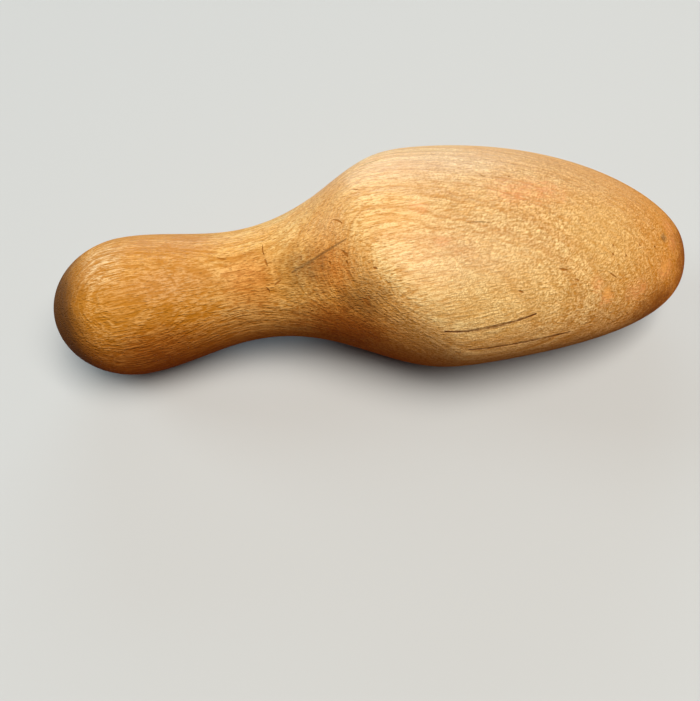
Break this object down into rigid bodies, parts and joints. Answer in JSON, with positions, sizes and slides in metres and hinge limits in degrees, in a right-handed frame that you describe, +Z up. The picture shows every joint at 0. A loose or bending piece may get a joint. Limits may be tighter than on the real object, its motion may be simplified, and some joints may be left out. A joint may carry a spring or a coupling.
{
  "type": "sock darner",
  "caption": "Hand-held wooden sock darner: a round knob and waist to grip, flaring into a broad foot-shaped head that holds a sock stretched while it is mended.",
  "frame": {"origin": "centre of the darner's bounding box, at the height of the surface it lies on", "axes": "+X along the darner from the knob towards the toe, +Y across it, away from the side that the toe leans to, +Z up from the surface it lies on"},
  "size_m": [0.1556, 0.061, 0.0427],
  "materials": {
    "maple": "aged honey-coloured maple, hand-worn satin"
  },
  "bodies": {
    "root": {"darner_body": "maple"}
  },
  "joints": []
}
